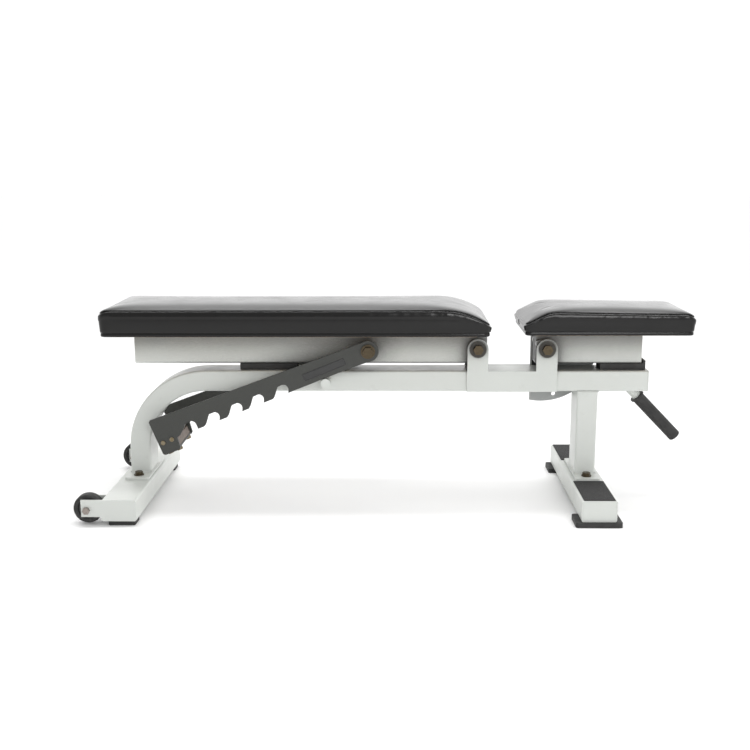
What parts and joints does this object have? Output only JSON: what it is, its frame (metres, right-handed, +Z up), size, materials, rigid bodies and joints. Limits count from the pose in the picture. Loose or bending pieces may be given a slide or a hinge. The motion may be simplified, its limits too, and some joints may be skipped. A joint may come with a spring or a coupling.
{
  "type": "adjustable weight bench",
  "caption": "Adjustable weight bench: a long back pad and a short seat pad on a bent box-tube frame with cross feet, a notched back ladder, transport wheels and a lifting handle.",
  "frame": {"origin": "on the floor under the middle of the bench's overall box", "axes": "+X along the bench from the head end to the seat end, +Y across it to the far side, +Z up"},
  "size_m": [1.4301, 0.49, 0.485],
  "materials": {
    "frame_paint": "smooth silver-white powder coat",
    "plastic": "moulded black plastic",
    "tyre": "black rubber tyre",
    "rubber": "black rubber",
    "grip_tape": "black anti-slip sheet",
    "bronze_bolt": "antique bronze plating",
    "black_steel": "black oxide",
    "zinc": "zinc plating",
    "bush_bronze": "sintered bronze",
    "ladder_coat": "textured black powder coat",
    "block": "dull brown coating",
    "yellow_zinc": "yellow zinc plating",
    "vinyl": "black upholstery vinyl",
    "plywood": "plywood",
    "sector_grey": "grey powder coat"
  },
  "bodies": {
    "frame": {"main_beam": "frame_paint", "beam_end_cap": "frame_paint", "front_post": "frame_paint", "front_base_plate": "frame_paint", "rear_base_plate": "frame_paint", "front_foot": "frame_paint", "rear_foot": "frame_paint", "front_end_plates": "frame_paint", "wheel_fork_near": "frame_paint", "wheel_fork_far": "frame_paint", "wheel_axle_near": "zinc", "wheel_axle_far": "zinc", "front_rubber_near": "rubber", "front_rubber_far": "rubber", "rear_rubber_near": "rubber", "rear_rubber_far": "rubber", "grip_sheet_near": "grip_tape", "grip_sheet_far": "grip_tape", "base_bolts": "bronze_bolt", "base_nuts": "zinc", "hinge_bracket_near": "frame_paint", "hinge_bracket_far": "frame_paint", "bracket_liners": "plastic", "back_pivot_bolt": "bronze_bolt", "seat_pivot_bolt": "bronze_bolt", "pivot_washers": "black_steel", "pivot_nuts": "bronze_bolt", "catch_pin": "frame_paint", "back_bumper": "rubber", "seat_bumper": "rubber", "handle_rod": "frame_paint", "handle_grip": "rubber", "lock_housing": "frame_paint"},
    "ladder": {"ladder_near": "ladder_coat", "ladder_far": "ladder_coat", "ladder_bushes": "bush_bronze", "ladder_channel": "ladder_coat", "ladder_block": "block", "ladder_fasteners": "yellow_zinc"},
    "back_rest": {"back_tube": "frame_paint", "back_tube_cap": "plastic", "back_sleeve": "zinc", "back_bushes": "bush_bronze", "ladder_sleeve": "zinc", "ladder_bolt": "bronze_bolt", "back_board": "plywood", "back_pad": "vinyl", "back_screws": "black_steel"},
    "seat": {"seat_tube": "frame_paint", "seat_tube_cap": "plastic", "seat_sleeve": "zinc", "seat_board": "plywood", "seat_pad": "vinyl", "seat_screws": "black_steel", "seat_sector": "sector_grey"},
    "lock_plunger": {"lock_pin": "zinc"},
    "wheel_near": {"wheel_tyre_near": "tyre", "wheel_hub_near": "plastic"},
    "wheel_far": {"wheel_tyre_far": "tyre", "wheel_hub_far": "plastic"}
  },
  "joints": [
    {"name": "back_hinge", "type": "hinge", "parent": "frame", "child": "back_rest", "pos_m": [0.217, 0, 0.374], "axis": [0, 1, 0], "range_deg": [0, 82]},
    {"name": "ladder_hinge", "type": "hinge", "parent": "back_rest", "child": "ladder", "pos_m": [-0.044, 0, 0.375], "axis": [0, 1, 0], "range_deg": [-104, 0]},
    {"name": "seat_hinge", "type": "hinge", "parent": "frame", "child": "seat", "pos_m": [0.381, 0, 0.374], "axis": [0, 1, 0], "range_deg": [-30, 0]},
    {"name": "lock_pull", "type": "slide", "parent": "frame", "child": "lock_plunger", "axis": [0, 1, 0], "range_m": [0, 0.012], "stiffness_N_per_m": 400, "springref_m": -0.01},
    {"name": "wheel_spin_near", "type": "hinge", "parent": "frame", "child": "wheel_near", "pos_m": [-0.6815, -0.216, 0.0375], "axis": [0, 1, 0], "continuous": true},
    {"name": "wheel_spin_far", "type": "hinge", "parent": "frame", "child": "wheel_far", "pos_m": [-0.6815, 0.216, 0.0375], "axis": [0, 1, 0], "continuous": true}
  ],
  "couplings": [
    {"joint": "ladder_hinge", "follows": "back_hinge", "ratio": -1.262}
  ]
}
